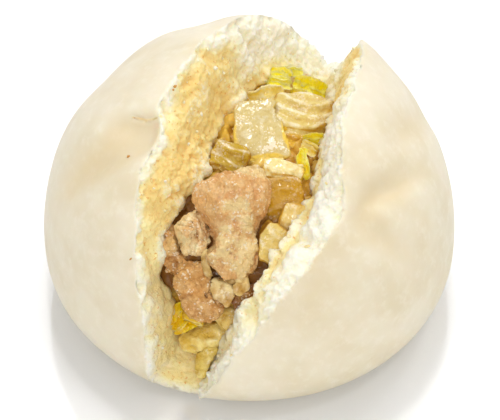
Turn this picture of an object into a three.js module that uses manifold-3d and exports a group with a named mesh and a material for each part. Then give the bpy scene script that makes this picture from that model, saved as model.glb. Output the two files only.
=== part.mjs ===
// Steamed meat bun, pulled open by hand: one bread body, torn from the front over the top to the
// back, with its filling of pork pieces and stewed cabbage showing in the tear.
// Millimetres, +Z up. X runs across the tear, -Y is the end where it reaches the ground, and the
// origin is the middle of the flat base.
import * as THREE from 'three';
import { mergeVertices } from 'three/addons/utils/BufferGeometryUtils.js';
import Module from 'manifold-3d';

const wasm = await Module();
wasm.setup();
const vec = (x, y, z) => new THREE.Vector3(x, y, z);

// Driving dimensions ------------------------------------------------------------------------------

const gap = 0.35; // air between pieces that touch

const bun = {
  radius: 50, // at the waist
  waist: 16.5, // height of the widest ring
  rise: 52.5, // from the waist to the top
  drop: 23, // depth of the foot's curve, which the ground cuts short
  domePower: 2.04,
  footPower: 2.8,
  around: 72,
  footRings: 4,
  domeRings: 18,
  uneven: 0.5, // slow swells of the skin
};

// Where the skin stands out beyond the plain dome: azimuth and height, how far, and how wide.
const swells = [
  { at: [-153, 26], out: 1.3, reach: 34 },
  { at: [70, 55], out: 1.7, reach: 9 },
];

// Folds of the gathered top, each from a point near the tear out over the skin: azimuth from +X
// and height, depth of the fold, and its width on either side (a small one makes a sharp crease).
const folds = [
  { from: [-126, 61.5], to: [-143, 55], depth: 1.9, near: 3, far: 4.5 },
  { from: [-122, 60], to: [-140, 33], depth: 2.6, near: 6, far: 5 },
  { from: [-150, 62], to: [-176, 44], depth: 0.6, near: 5, far: 7 },
  { from: [170, 61], to: [178, 34], depth: 0.9, near: 6, far: 7 },
  { from: [140, 58], to: [142, 30], depth: 1.1, near: 6, far: 6 },
  { from: [-17, 51], to: [18, 43], depth: 1.7, near: 3, far: 5 },
  { from: [-24, 49.5], to: [-10, 30], depth: 1.4, near: 4.5, far: 5 },
  { from: [-8, 51], to: [2, 36], depth: 0.9, near: 4, far: 4 },
  { from: [14, 54], to: [50, 36], depth: 1.1, near: 4, far: 5 },
  { from: [-38, 46], to: [-50, 26], depth: 0.7, near: 6, far: 6 },
];

const foldBank = 0.25; // height of the banks beside a fold, as a share of its depth

// The two torn faces, as planes that lean away from each other; the right one also swings back to
// meet the left one in the notch of the back wall.
const leftFace = { foot: -2, lean: 0.3, leanFrom: 22 };
const rightFace = { foot: 8, lean: 0.5, swing: 0.28, swingFrom: -32, bow: 0.012, bowFrom: 40 };
// Places where a torn face stands off its plane.
const leftLips = [
  { out: 4.5, y: -12, z: 43, reach: 6 },
  { out: 4, y: -20, z: 42, reach: 4.5 },
];
const rightLips = [
  { out: 4.5, y: -20, z: 50, reach: 7 },
  { out: -3, y: 36, z: 54, reach: 7 },
];
const notch = { x: -2.5, half: 0.5, angle: 169, span: 10 };
const tear = {
  middle: 20, // height that the angles along the tear are measured from, at Y = 0
  leftFoot: -19.5,
  rightFoot: -22.5,
  sideSteps: 52,
  footSteps: 6,
  bandRows: 8, // steps of the crumb between its inner rim and the skin
  rimShare: 0.5, // where the ring inside the rim lies on the way from the pocket's middle
  outShares: [2.25, 3], // rings outside the skin, on a line through rim and skin
  sky: vec(8, -12, 260), // a point far above, where the cut leaves the bun
  crowns: [vec(0.5, 0, 0.5), vec(-1.8, 0, 1.3)], // how each rim rounds up between skin and filling
  crag: 0.75, // relief of the torn crumb
  ragged: 0.9, // wander of the skin's torn edge
};

// How far the right wall's torn rim leans in over the filling, at these angles along the tear.
const rimLean = { foot: 1.5, front: 5, back: 1.5, steps: [-22, 12, 40, 75] };

// Room that the filling made in the bread, and the filling itself.
const pocket = { centre: [2, -2, 27], half: [26, 35, 19.5], power: 2.6, around: 24, rings: 14 };
const coreTop = { sunk: 3, lump: 1.6, slack: 0.1 };

// Helpers -----------------------------------------------------------------------------------------

const degrees = Math.PI / 180;
const mix = THREE.MathUtils.lerp;
const smooth = THREE.MathUtils.smoothstep;

function hash(x, y, z) {
  let h = Math.imul(x, 374761393) ^ Math.imul(y, 668265263) ^ Math.imul(z, 1274126177);
  h = Math.imul(h ^ (h >>> 13), 1103515245);
  return ((h ^ (h >>> 16)) >>> 0) / 4294967295;
}

// Smooth seeded noise from -1 to 1 with bumps about `size` across.
function noise(point, size, seed = 0) {
  const at = [point.x / size + seed * 17.3, point.y / size - seed * 9.1, point.z / size + seed * 5.7];
  const cell = at.map(Math.floor);
  const part = at.map((value, axis) => {
    const t = value - cell[axis];
    return t * t * (3 - 2 * t);
  });
  let sum = 0;
  for (let corner = 0; corner < 8; corner += 1) {
    const step = [corner & 1, (corner >> 1) & 1, corner >> 2];
    const weight = step.reduce((w, s, axis) => w * (s ? part[axis] : 1 - part[axis]), 1);
    sum += weight * hash(cell[0] + step[0], cell[1] + step[1], cell[2] + step[2]);
  }
  return 2 * sum - 1;
}

function welded(geometry) {
  const bare = geometry.clone();
  bare.deleteAttribute('uv');
  bare.deleteAttribute('normal');
  return mergeVertices(bare, 1e-4);
}

// Moves every vertex: `change` gets the point, its normal and its uv.
function reshape(geometry, change) {
  const position = geometry.attributes.position;
  const normal = geometry.attributes.normal;
  const uv = geometry.attributes.uv;
  const point = vec(0, 0, 0);
  const along = vec(0, 0, 0);
  for (let i = 0; i < position.count; i += 1) {
    point.fromBufferAttribute(position, i);
    along.fromBufferAttribute(normal, i);
    const moved = change(point, along, uv ? [uv.getX(i), uv.getY(i)] : null);
    position.setXYZ(i, moved.x, moved.y, moved.z);
  }
  return geometry;
}

// Moves every vertex of a welded body along its own normal by `amount` of the point.
function swollen(geometry, amount) {
  const body = welded(geometry);
  body.computeVertexNormals();
  return reshape(body, (point, normal) => point.clone().addScaledVector(normal, amount(point)));
}

function toSolid(geometry) {
  const body = welded(geometry);
  return new wasm.Manifold(new wasm.Mesh({
    numProp: 3,
    vertProperties: new Float32Array(body.attributes.position.array),
    triVerts: new Uint32Array(body.index.array),
  }));
}

function toGeometry(solid) {
  const mesh = solid.getMesh();
  const geometry = new THREE.BufferGeometry();
  geometry.setAttribute('position', new THREE.BufferAttribute(mesh.vertProperties, 3));
  geometry.setIndex(new THREE.BufferAttribute(mesh.triVerts, 1));
  geometry.computeVertexNormals();
  return geometry;
}

// Bread -------------------------------------------------------------------------------------------

// 1 on the plain skin, less inside it.
function skinLevel(point) {
  const across = Math.hypot(point.x, point.y) / bun.radius;
  const up = point.z - bun.waist;
  const power = up > 0 ? bun.domePower : bun.footPower;
  return across ** power + Math.abs(up / (up > 0 ? bun.rise : bun.drop)) ** power;
}

function skinRadius(height) {
  const up = height - bun.waist;
  const power = up > 0 ? bun.domePower : bun.footPower;
  const level = Math.abs(up / (up > 0 ? bun.rise : bun.drop)) ** power;
  return bun.radius * Math.max(0, 1 - level) ** (1 / power);
}

function skinPoint([azimuth, height]) {
  const radius = skinRadius(height);
  return vec(radius * Math.cos(azimuth * degrees), radius * Math.sin(azimuth * degrees), height);
}

// How deep the folds lie under the plain skin: each is a groove with a low bank on either side, which
// starts a little before its first point and fades out past its second.
function foldDepth(point) {
  let sum = 0;
  for (const fold of folds) {
    const start = skinPoint(fold.from);
    const line = skinPoint(fold.to).sub(start);
    const outward = start.clone().addScaledVector(line, 0.5).sub(vec(0, 0, bun.waist)).normalize();
    const side = outward.cross(line).normalize();
    const away = point.clone().sub(start);
    const along = away.dot(line) / line.lengthSq();
    const off = away.dot(side);
    if (along < -0.3 || along > 1.3 || away.length() > 2 * line.length()) continue;
    const fade = smooth(along, -0.25, 0.1) * (1 - smooth(along, 0.35, 1.25));
    const across = off / (off > 0 ? fold.far : fold.near);
    const groove = (1 + foldBank) * Math.exp(-(across ** 2));
    const bank = foldBank * Math.exp(-((across / 2.4) ** 2));
    sum += fold.depth * fade * (groove - bank);
  }
  return sum;
}

function swellHeight(point) {
  return swells.reduce((sum, swell) => (
    sum + swell.out * Math.exp(-((point.distanceTo(skinPoint(swell.at)) / swell.reach) ** 2))
  ), 0);
}

function dome() {
  const profile = [new THREE.Vector2(0, 0)];
  const base = Math.asin((bun.waist / bun.drop) ** (bun.footPower / 2));
  for (let i = 0; i < bun.footRings; i += 1) {
    const angle = base * (1 - i / bun.footRings);
    profile.push(new THREE.Vector2(
      bun.radius * Math.cos(angle) ** (2 / bun.footPower),
      Math.max(0, bun.waist - bun.drop * Math.sin(angle) ** (2 / bun.footPower)),
    ));
  }
  for (let i = 0; i < bun.domeRings; i += 1) {
    const angle = (i / bun.domeRings) * (Math.PI / 2);
    profile.push(new THREE.Vector2(
      bun.radius * Math.cos(angle) ** (2 / bun.domePower),
      bun.waist + bun.rise * Math.sin(angle) ** (2 / bun.domePower),
    ));
  }
  profile.push(new THREE.Vector2(0, bun.waist + bun.rise));
  const shell = new THREE.LatheGeometry(profile, bun.around).rotateX(Math.PI / 2);
  return swollen(shell, (point) => {
    const clear = smooth(point.z, 0.5, 8);
    return clear * (swellHeight(point) + bun.uneven * noise(point, 26, 3) - foldDepth(point));
  });
}

function lipOut(lips, y, z) {
  return lips.reduce((sum, lip) => (
    sum + lip.out * Math.exp(-((y - lip.y) ** 2 + (z - lip.z) ** 2) / (2 * lip.reach ** 2))
  ), 0);
}

function leftX(y, z) {
  return leftFace.foot - leftFace.lean * Math.max(0, z - leftFace.leanFrom) + lipOut(leftLips, y, z);
}

function rightX(y, z) {
  const swing = rightFace.swing * Math.max(0, y - rightFace.swingFrom);
  const bow = rightFace.bow * Math.max(0, z - rightFace.bowFrom) ** 2;
  return rightFace.foot + rightFace.lean * z - swing - bow + lipOut(rightLips, y, z);
}

function rimWidth(angle) {
  const [foot, front, past, back] = rimLean.steps;
  const rising = mix(rimLean.foot, rimLean.front, smooth(angle, foot, front));
  return mix(rising, rimLean.back, smooth(angle, past, back));
}

// 1 on the wall of the pocket, less inside it.
function pocketLevel(point) {
  return point.toArray().reduce((sum, value, axis) => (
    sum + Math.abs((value - pocket.centre[axis]) / pocket.half[axis]) ** pocket.power
  ), 0);
}

// Where the curve x = sideX(y, z), seen from the tear's middle at `angle`, meets level 1.
function crossing(angle, sideX, level) {
  const toward = [-Math.cos(angle * degrees), Math.sin(angle * degrees)];
  let low = 0;
  let high = 90;
  const at = (reach) => {
    const y = reach * toward[0];
    const z = tear.middle + reach * toward[1];
    return vec(sideX(y, z), y, z);
  };
  for (let i = 0; i < 40; i += 1) {
    const reach = (low + high) / 2;
    if (level(at(reach)) < 1) low = reach;
    else high = reach;
  }
  return at(low);
}

// The loop of the tear: up the left face from the front foot, over to the notch, and back down the
// right face. Each stop holds the angle, the side (0 left, 1 right) and a blend along the foot.
function tearStops() {
  const stops = [];
  const span = (from, i) => mix(from, notch.angle, i / tear.sideSteps);
  for (let i = 0; i < tear.sideSteps; i += 1) stops.push({ angle: span(tear.leftFoot, i), side: 0 });
  for (let i = tear.sideSteps; i >= 0; i -= 1) stops.push({ angle: span(tear.rightFoot, i), side: 1 });
  for (let i = 1; i < tear.footSteps; i += 1) {
    const side = 1 - i / tear.footSteps;
    stops.push({ angle: mix(tear.leftFoot, tear.rightFoot, side), side });
  }
  return stops;
}

function tearSection({ angle, side }) {
  const close = smooth(angle, notch.angle - notch.span, notch.angle);
  const sideX = (lean) => (y, z) => {
    const open = mix(leftX(y, z), rightX(y, z) - lean, side);
    return mix(open, notch.x + (2 * side - 1) * notch.half, close);
  };
  return {
    side,
    skin: crossing(angle, sideX(0), skinLevel),
    rim: crossing(angle, sideX(rimWidth(angle)), (point) => pocketLevel(point) * 1.18),
  };
}

// What the tear takes away: a fan from the middle of the pocket, out through rim and skin.
function tearCutter() {
  const sections = tearStops().map(tearSection);
  const heart = vec(...pocket.centre);
  const rows = tear.bandRows + 5;
  const shape = new THREE.SphereGeometry(1, sections.length, rows);
  const shares = [tear.rimShare];
  for (let row = 0; row <= tear.bandRows; row += 1) shares.push(1 + row / tear.bandRows);
  shares.push(...tear.outShares);
  reshape(shape, (point, normal, [u, v]) => {
    const row = Math.round((1 - v) * rows);
    if (row === 0) return heart.clone();
    if (row === rows) return tear.sky.clone();
    const { rim, skin, side } = sections[Math.round(u * sections.length) % sections.length];
    const share = shares[row - 1];
    if (share < 1) return heart.clone().lerp(rim, share);
    const round = share < 2 ? Math.sin((share - 1) * Math.PI) : 0;
    const crown = tear.crowns[side > 0.5 ? 1 : 0].clone().multiplyScalar(round);
    return rim.clone().lerp(skin, share - 1).add(crown);
  });
  return swollen(shape, (point) => {
    const torn = smooth(pocketLevel(point), 0.7, 1.4);
    return torn * (tear.ragged * noise(point, 9, 5) + tear.crag * noise(point, 3.4, 7));
  });
}

// The pocket's wall, or a body that lies `inset(point)` inside it.
function pocketBody(inset) {
  const shape = new THREE.SphereGeometry(1, pocket.around, pocket.rings).rotateZ(Math.PI / 2);
  return reshape(shape, (point) => {
    const reach = point.toArray().reduce((sum, value, axis) => (
      sum + Math.abs(value / pocket.half[axis]) ** pocket.power
    ), 0) ** (-1 / pocket.power);
    const wall = point.clone().multiplyScalar(reach);
    const place = wall.clone().add(vec(...pocket.centre));
    return place.addScaledVector(point, -inset(place));
  });
}

// The open room in the bread, `inset` away from its torn faces and its pocket.
function hollow(inset) {
  const torn = toSolid(swollen(tearCutter(), () => -inset));
  return torn.add(toSolid(pocketBody(() => inset)));
}

// Filling -----------------------------------------------------------------------------------------

// 1 where the open tear bares the filling, 0 under the bread.
function bared(point) {
  const angle = Math.atan2(point.z - tear.middle, -point.y) / degrees;
  const above = smooth(angle, tear.leftFoot - 5, tear.leftFoot + 15);
  const left = smooth(point.x, leftX(point.y, point.z) - 1, leftX(point.y, point.z) + 4);
  const right = rightX(point.y, point.z) - rimWidth(angle);
  return above * left * (1 - smooth(point.x, right - 3, right + 3));
}

function fillingCore() {
  return pocketBody((place) => {
    const open = bared(place);
    const lumps = coreTop.lump * noise(place, 6.5, 11);
    return gap + coreTop.slack + open * (coreTop.sunk + lumps);
  });
}

// The opening looks to the front right and up; pieces of filling are laid out in its own directions:
// x to the right, y up the slope of the filling, z straight out of it.
const opening = new THREE.Matrix4().makeRotationZ(27 * degrees)
  .multiply(new THREE.Matrix4().makeRotationX(46 * degrees));

// Colour and roughness of each kind of piece.
const looks = {
  pork: [0xc79a6e, 0.4],
  darkPork: [0x7d4a26, 0.4],
  fat: [0xe3cf98, 0.3],
  softCabbage: [0xd2ab55, 0.3],
  stem: [0xe6d596, 0.25],
  brownStem: [0xc39a3a, 0.3],
  leaf: [0xe0c431, 0.35],
  paleLeaf: [0xe9d9a0, 0.35],
};

// Lumps of meat and fat: blobs fused into one body, each with its middle in mm from the piece's own,
// half sizes, and a turn in the plane of the opening.
const chunks = [
  { name: 'pork_chunk_1', look: 'pork', at: [8.5, -24.5, 43.5], rough: 0.16, blobs: [
    { at: [-0.5, 4.6, 0.6], half: [9, 6.8, 5.6], spin: 12, detail: 3 },
    { at: [-0.6, -5.6, 0.2], half: [5.8, 7.6, 5], spin: -6, detail: 3 },
    { at: [4.8, 9.6, -0.8], half: [2.3, 4, 3.2], spin: 20, detail: 2 }] },
  { name: 'pork_chunk_2', look: 'pork', at: [0.2, -29.4, 40.4], rough: 0.2, blobs: [
    { at: [0, 0, 0], half: [4, 5.5, 4], spin: 12, detail: 3 }] },
  { name: 'pork_chunk_3', look: 'pork', at: [0.8, -34.5, 32.4], rough: 0.17, blobs: [
    { at: [-3.8, 5, -0.6], half: [3.3, 9.4, 2.8], spin: 25, detail: 2 },
    { at: [2.6, -3.8, 0.4], half: [5.4, 7.6, 4.4], spin: 34, detail: 3 }] },
  { name: 'fat_1', look: 'fat', at: [9.9, -35.7, 30.9], rough: 0.16, blobs: [
    { at: [0, 0, 0], half: [4, 2.8, 2.2], spin: -30, detail: 2 }] },
  { name: 'fat_2', look: 'fat', at: [6.4, -33.4, 36.5], rough: 0.16, blobs: [
    { at: [0, 0, 0], half: [2.3, 3.2, 2.2], spin: 0, detail: 2 }] },
  { name: 'fat_3', look: 'fat', at: [10.5, -32.9, 34.4], rough: 0.12, blobs: [
    { at: [0, 0, 0], half: [2.6, 2.9, 2.2], spin: 0, detail: 2 }] },
  { name: 'fat_4', look: 'fat', at: [13.5, -32.9, 33.1], rough: 0.16, blobs: [
    { at: [0, 0, 0], half: [1.9, 3.2, 1.9], spin: 10, detail: 2 }] },
  { name: 'pork_chunk_4', look: 'darkPork', at: [14.4, -32.1, 28.5], rough: 0.2, blobs: [
    { at: [0, 0, 0], half: [3.4, 3.6, 2.2], spin: 0, detail: 2 }] },
  { name: 'soft_cabbage_1', look: 'softCabbage', at: [12.8, -33, 20.8], rough: 0.14, blobs: [
    { at: [0, 0, 0], half: [4.4, 3.1, 2.4], spin: 18, detail: 2 }] },
  { name: 'soft_cabbage_2', look: 'softCabbage', at: [6.4, -34.6, 12.8], rough: 0.14, blobs: [
    { at: [0, 0, 0], half: [7, 3.1, 3.4], spin: 12, detail: 2 }] },
  { name: 'soft_cabbage_3', look: 'softCabbage', at: [8.4, -37.9, 9.2], rough: 0.14, blobs: [
    { at: [0, 0, 0], half: [3.5, 5, 2.4], spin: -8, detail: 2 }] },
];

// Pieces of stewed stem: cut slabs, with ribs along x, a bow across y and a slant of the outline.
const slabs = [
  { name: 'cabbage_stem_2', look: 'stem', at: [7, 11.4, 45.4], size: [14.2, 13, 3.8], spin: -9,
    tip: -16, turn: 4, ribs: 3, rib: 0.45, bow: 1.6, slant: 0.1 },
  { name: 'cabbage_stem_1', look: 'stem', at: [1.9, 3.8, 45.4], size: [13.8, 15, 4], spin: 3,
    tip: -26, turn: 6, ribs: 0, rib: 0, bow: 0.5, slant: 0.12 },
  { name: 'cabbage_stem_3', look: 'stem', at: [-2.2, -10.6, 44.2], size: [9, 12.6, 4], spin: -28,
    tip: -12, turn: -4, ribs: 3, rib: 0.35, bow: 0.6, slant: 0 },
  { name: 'cabbage_stem_4', look: 'stem', at: [11, -5.7, 44.4], size: [9.8, 4.6, 4], spin: -5,
    tip: -12, turn: 0, ribs: 0, rib: 0, bow: 0.3, slant: 0.1 },
  { name: 'cabbage_stem_5', look: 'brownStem', at: [14.4, -12.6, 42.8], size: [10.5, 10, 4], spin: 6,
    tip: -6, turn: 4, ribs: 0, rib: 0, bow: 0.4, slant: -0.1 },
  { name: 'cabbage_stem_6', look: 'stem', at: [18.9, -16.6, 41.2], size: [5.5, 8, 3.4], spin: -14,
    tip: 0, turn: 10, ribs: 2, rib: 0.25, bow: 0.4, slant: 0 },
  { name: 'cabbage_stem_7', look: 'stem', at: [16.8, -24.2, 39.6], size: [6, 9.5, 3.4], spin: -32,
    tip: 0, turn: 12, ribs: 0, rib: 0, bow: 0.4, slant: 0.1 },
  { name: 'cabbage_stem_8', look: 'stem', at: [3.1, -36.8, 19.5], size: [5.4, 2.6, 2.2], spin: -12,
    tip: 0, turn: 0, ribs: 0, rib: 0, bow: 0.9, slant: 0 },
];

// Thin leaves: waves along x, a curl of the y edges and a fold of the x edges.
const leaves = [
  { name: 'cabbage_leaf_1', look: 'leaf', at: [-6, 25.3, 42.4], size: [8, 5], spin: -14, tip: -20,
    turn: 10, waves: 1.2, wave: 0.7, curl: 1.2 },
  { name: 'cabbage_leaf_2', look: 'leaf', at: [-5.6, 29.4, 41.4], size: [9, 3.4], spin: 6, tip: 20,
    turn: 0, waves: 1.6, wave: 0.5, curl: 0.8 },
  { name: 'cabbage_leaf_3', look: 'leaf', at: [1.2, 28.6, 39.2], size: [9, 6.5], spin: -20, tip: 0,
    turn: 0, waves: 2, wave: 0.8, curl: 0.8 },
  { name: 'cabbage_leaf_4', look: 'paleLeaf', at: [-5.2, 17, 45.2], size: [9.5, 3.6], spin: 14, tip: 30,
    turn: 0, waves: 1.4, wave: 0.6, curl: 1.6 },
  { name: 'cabbage_leaf_5', look: 'leaf', at: [13, 7, 45.6], size: [5.4, 3.6], spin: 0, tip: 10,
    turn: 0, waves: 1, wave: 0.4, curl: 0.6 },
  { name: 'cabbage_leaf_6', look: 'paleLeaf', at: [14, 3, 46.2], size: [4.6, 2.6], spin: -30, tip: 10,
    turn: 0, waves: 1, wave: 0.4, curl: 1.4 },
  { name: 'cabbage_leaf_7', look: 'leaf', at: [14.8, -2.6, 46], size: [2.8, 8.6], spin: 6, tip: 0,
    turn: 30, waves: 0.6, wave: 0.3, curl: 0.4 },
  { name: 'cabbage_leaf_8', look: 'leaf', at: [0.9, -35.7, 18.6], size: [9, 7.8], spin: 30, tip: 0,
    turn: 20, waves: 1.3, wave: 0.7, curl: 1 },
];
const leafThickness = 0.8;
const leafStep = 1.6; // grid of a leaf
const slabStep = 2.4; // grid of a stem piece
const lumpPower = 2.7; // how boxy a lump of meat is: 2 is round

function pieceFrame({ at, spin = 0, tip = 0, turn = 0 }) {
  const lie = new THREE.Euler(tip * degrees, turn * degrees, spin * degrees, 'ZYX');
  return new THREE.Matrix4().makeTranslation(...at).multiply(opening)
    .multiply(new THREE.Matrix4().makeRotationFromEuler(lie));
}

// A lump of cooked meat: a rounded box of the given half sizes with a nubbly surface.
function blob({ at, half, spin, detail }, rough, seed) {
  const shape = reshape(new THREE.IcosahedronGeometry(1, detail), (point) => {
    const level = point.toArray().reduce((sum, value) => sum + Math.abs(value) ** lumpPower, 0);
    const boxy = level ** (-1 / lumpPower);
    const bumps = rough * noise(point, 0.75, seed) + 0.5 * rough * noise(point, 0.33, seed + 1);
    return point.clone().multiplyScalar(boxy * (1 + bumps)).multiply(vec(...half));
  });
  return shape.rotateZ(spin * degrees).translate(...at);
}

function chunkGeometry(chunk, seed) {
  const solids = chunk.blobs.map((part, i) => toSolid(blob(part, chunk.rough, seed + 3 * i)));
  return toGeometry(solids.reduce((whole, part) => whole.add(part)));
}

function slabGeometry({ size, ribs, rib, bow, slant }, seed) {
  const [width, height, thick] = size;
  const steps = [Math.ceil(width / slabStep), Math.ceil(height / slabStep), 1];
  return reshape(new THREE.BoxGeometry(width, height, thick, ...steps), (point) => {
    const across = (2 * point.x) / width;
    const up = (2 * point.y) / height;
    const corner = 1 - 0.1 * across ** 2 * up ** 2 - 0.05 * (across ** 2 + up ** 2);
    const wobble = noise(point, 4, seed) * 0.35;
    const ribbing = ribs ? rib * Math.cos(up * Math.PI * ribs + across) : 0;
    return vec(
      point.x * corner + slant * point.y + wobble,
      point.y * corner + 0.35 * noise(point, 4, seed + 1),
      point.z * (1 - 0.15 * up ** 2) + ribbing + wobble - bow * across ** 2 - 0.5 * bow * up ** 2,
    );
  });
}

// A thin wavy sheet: both faces carry the same triangles, with a rim stitched round them.
function leafGeometry({ size, waves, wave, curl }, seed) {
  const [width, height] = size;
  const columns = Math.max(3, Math.ceil(width / leafStep));
  const rows = Math.max(3, Math.ceil(height / leafStep));
  const face = reshape(new THREE.PlaneGeometry(width, height, columns, rows), (point) => {
    const across = (2 * point.x) / width;
    const up = (2 * point.y) / height;
    const ruffle = wave * Math.sin(across * Math.PI * waves + seed) * (1 + 0.6 * up);
    const round = 1 - 0.16 * across ** 2 * up ** 2;
    return vec(
      point.x * round + 0.4 * noise(point, 2.5, seed),
      point.y * round * (1 - 0.12 * up ** 2) + 0.5 * noise(point, 3, seed + 1),
      ruffle + curl * up ** 2 + 0.3 * noise(point, 2, seed + 2),
    );
  });
  const flat = face.attributes.position;
  const count = flat.count;
  const corners = [];
  for (const lift of [leafThickness / 2, -leafThickness / 2]) {
    for (let i = 0; i < count; i += 1) corners.push(flat.getX(i), flat.getY(i), flat.getZ(i) + lift);
  }
  const index = Array.from(face.index.array);
  const faces = [...index];
  for (let i = 0; i < index.length; i += 3) {
    faces.push(index[i] + count, index[i + 2] + count, index[i + 1] + count);
  }
  const rim = [];
  for (let i = 0; i < columns; i += 1) rim.push(i);
  for (let i = 0; i < rows; i += 1) rim.push(columns + i * (columns + 1));
  for (let i = columns; i > 0; i -= 1) rim.push(rows * (columns + 1) + i);
  for (let i = rows; i > 0; i -= 1) rim.push(i * (columns + 1));
  rim.forEach((a, i) => {
    const b = rim[(i + 1) % rim.length];
    faces.push(a, b, b + count, a, b + count, a + count);
  });
  const leaf = new THREE.BufferGeometry();
  leaf.setAttribute('position', new THREE.Float32BufferAttribute(corners, 3));
  leaf.setIndex(faces);
  return leaf;
}

// The largest body of a cut solid: loose scraps are dropped.
function largest(solid) {
  const bodies = solid.decompose();
  return bodies.reduce((best, body) => (body.volume() > best.volume() ? body : best));
}

// The whole ---------------------------------------------------------------------------------------

const group = new THREE.Group();

function addPiece(name, geometry, [color, roughness], frame = new THREE.Matrix4()) {
  const material = new THREE.MeshStandardMaterial({ color, roughness, metalness: 0 });
  const mesh = new THREE.Mesh(geometry.applyMatrix4(frame.clone().invert()), material);
  mesh.name = name;
  mesh.applyMatrix4(frame);
  group.add(mesh);
}

const plans = [
  ...chunks.map((plan, i) => ({ ...plan, local: chunkGeometry(plan, 10 + 7 * i) })),
  ...slabs.map((plan, i) => ({ ...plan, local: slabGeometry(plan, 40 + 5 * i) })),
  ...leaves.map((plan, i) => ({ ...plan, local: leafGeometry(plan, 70 + 3 * i) })),
];

const room = hollow(gap);
const core = fillingCore();
const laid = [toSolid(swollen(core, () => gap))];
addPiece('bun', toGeometry(largest(toSolid(dome()).subtract(hollow(0)))), [0xefe8d2, 0.75]);
addPiece('filling_core', welded(core), [0xb98f55, 0.45]);
for (const plan of plans) {
  const frame = pieceFrame(plan);
  let solid = toSolid(plan.local.clone().applyMatrix4(frame)).intersect(room);
  for (const other of laid) solid = solid.subtract(other);
  solid = largest(solid);
  laid.push(toSolid(swollen(toGeometry(solid), () => gap)));
  addPiece(plan.name, toGeometry(solid), looks[plan.look], frame);
}

export default group;
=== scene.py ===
import math

import bmesh
import bpy
import numpy as np
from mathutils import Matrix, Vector


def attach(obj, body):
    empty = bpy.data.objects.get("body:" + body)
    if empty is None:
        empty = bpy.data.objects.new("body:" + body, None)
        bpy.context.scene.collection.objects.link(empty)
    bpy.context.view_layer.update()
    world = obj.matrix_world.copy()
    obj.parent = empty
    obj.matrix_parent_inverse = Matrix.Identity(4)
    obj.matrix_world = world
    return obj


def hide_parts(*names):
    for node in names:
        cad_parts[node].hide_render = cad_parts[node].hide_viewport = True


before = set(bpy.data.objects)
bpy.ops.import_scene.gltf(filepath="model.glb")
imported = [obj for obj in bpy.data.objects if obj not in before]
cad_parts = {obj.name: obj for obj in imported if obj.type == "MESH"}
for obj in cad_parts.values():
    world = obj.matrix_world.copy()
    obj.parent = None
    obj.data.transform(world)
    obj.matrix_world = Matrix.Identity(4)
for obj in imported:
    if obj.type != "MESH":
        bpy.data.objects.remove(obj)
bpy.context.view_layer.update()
print("frame loaded")

mm = 0.001


# numbers on points are all in millimetres
def smoothStep(value, low, high):
    part = np.clip((value - low) / (high - low), 0, 1)
    return part * part * (3 - 2 * part)


def hashOf(x, y, z):
    # the same scatter of whole numbers as the source of the solids uses
    wrap = np.uint32
    mixed = x.astype(wrap) * wrap(374761393) ^ y.astype(wrap) * wrap(668265263) ^ z.astype(wrap) * wrap(1274126177)
    mixed = (mixed ^ (mixed >> wrap(13))) * wrap(1103515245)
    return (mixed ^ (mixed >> wrap(16))) / 4294967295


def softNoise(points, size, seed=0):
    # -1 to 1, bumps about size across
    at = points / size + np.array([17.3, -9.1, 5.7]) * seed
    cell = np.floor(at).astype(np.int64)
    part = at - cell
    part = part * part * (3 - 2 * part)
    total = np.zeros(len(points))
    for corner in range(8):
        step = np.array([corner & 1, (corner >> 1) & 1, corner >> 2])
        weight = np.prod(np.where(step, part, 1 - part), axis=1)
        total += weight * hashOf(*(cell + step).T)
    return 2 * total - 1


def cloudNoise(points, size, seed=0, octaves=3, keep=0.5):
    total, weight = 0, 1
    for octave in range(octaves):
        total = total + weight * softNoise(points, size / 2 ** octave, seed + 3 * octave)
        weight *= keep
    return total


def stirred(points, size, far, seed=0):
    # the points pushed about, so that noise read there has no grid
    return points + far * np.stack([softNoise(points, size, seed + turn) for turn in (41, 52, 63)], axis=1)


def lumps(points, size, seed=0):
    # distance to the nearest of scattered centres, the gap to the next one, a number for the nearest,
    # and a slant that differs from one centre's cell to the next
    at = points / size + np.array([3.7, 11.1, -6.3]) * seed
    cell = np.floor(at).astype(np.int64)
    near = np.full(len(points), 9.0)
    second = near.copy()
    tag, slant = np.zeros(len(points)), np.zeros(len(points))
    for offset in np.ndindex(3, 3, 3):
        there = cell + np.array(offset) - 1
        x, y, z = there.T
        centre = there + np.stack([hashOf(x + 71, y, z), hashOf(x, y + 71, z), hashOf(x, y, z + 71)], axis=1)
        away = np.linalg.norm(at - centre, axis=1)
        closer = away < near
        second = np.where(closer, near, np.minimum(second, away))
        tag = np.where(closer, hashOf(x + 5, y + 3, z + 9), tag)
        lean = np.stack([hashOf(x + 31, y, z), hashOf(x, y + 31, z), hashOf(x, y, z + 31)], axis=1) - 0.5
        slant = np.where(closer, ((at - centre) * lean).sum(axis=1) * size, slant)
        near = np.where(closer, away, near)
    return near, second - near, tag, slant


def placesOf(mesh):
    flat = np.empty(len(mesh.vertices) * 3)
    mesh.vertices.foreach_get("co", flat)
    return flat.reshape(-1, 3) / mm


def normalsOf(mesh):
    flat = np.empty(len(mesh.vertices) * 3)
    mesh.vertex_normals.foreach_get("vector", flat)
    return flat.reshape(-1, 3)


def setPlaces(mesh, places):
    mesh.vertices.foreach_set("co", (places * mm).ravel())
    mesh.update()


def paint(mesh, name, values):
    layer = mesh.attributes.get(name) or mesh.attributes.new(name, "FLOAT", "POINT")
    layer.data.foreach_set("value", np.clip(values, 0, 1).astype(np.float32))


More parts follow.
